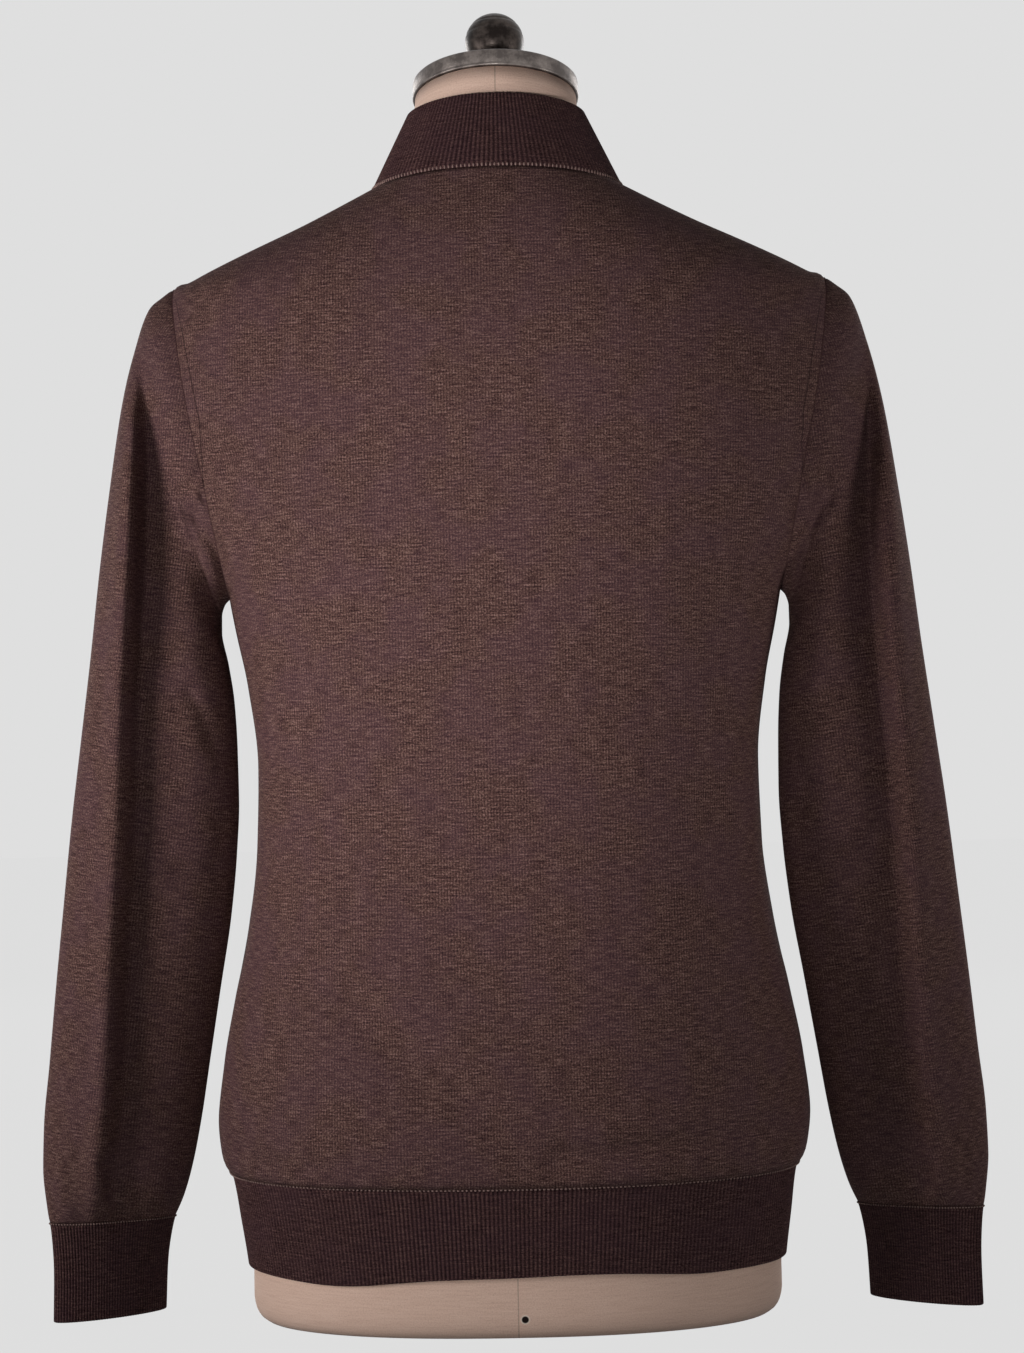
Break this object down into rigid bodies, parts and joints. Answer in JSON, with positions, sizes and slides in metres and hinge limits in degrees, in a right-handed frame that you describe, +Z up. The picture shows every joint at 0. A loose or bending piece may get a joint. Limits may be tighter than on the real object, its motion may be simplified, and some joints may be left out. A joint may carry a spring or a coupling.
{
  "type": "full-zip sweater on a limbless dress form",
  "caption": "Fine-knit full-zip sweater with ribbed stand collar, cuffs and hem, worn by a limbless linen dress form with neck cap and knob.",
  "frame": {"origin": "centre of the dress form's flat underside", "axes": "+Z up, the zip faces -Y and the wearer's left is +X"},
  "size_m": [0.5878, 0.249, 0.8184],
  "materials": {
    "jersey": "brown melange fine-gauge jersey knit",
    "rib": "dark brown fine rib knit",
    "tape": "woven zip tape",
    "zip_metal": "dark antique metal",
    "linen": "cream linen stretched over the form",
    "dark_metal": "dark satin metal"
  },
  "bodies": {
    "sweater_on_form": {"back": "jersey", "front_left": "jersey", "front_right": "jersey", "sleeve_left": "jersey", "sleeve_right": "jersey", "cuff_left": "rib", "cuff_right": "rib", "hem_back": "rib", "hem_left": "rib", "hem_right": "rib", "collar": "rib", "zip_tape_left": "tape", "zip_tape_right": "tape", "zip_slider": "zip_metal", "zip_stop_left": "zip_metal", "zip_stop_right": "zip_metal", "zip_box": "zip_metal", "form_torso": "linen", "neck_cap": "dark_metal", "neck_knob": "dark_metal"},
    "zip_pull": {"zip_pull": "zip_metal"}
  },
  "joints": [
    {"name": "pull_tab_hinge", "type": "hinge", "parent": "sweater_on_form", "child": "zip_pull", "pos_m": [0, -0.06736, 0.72667], "axis": [-1, 0, 0], "range_deg": [0, 165]}
  ]
}
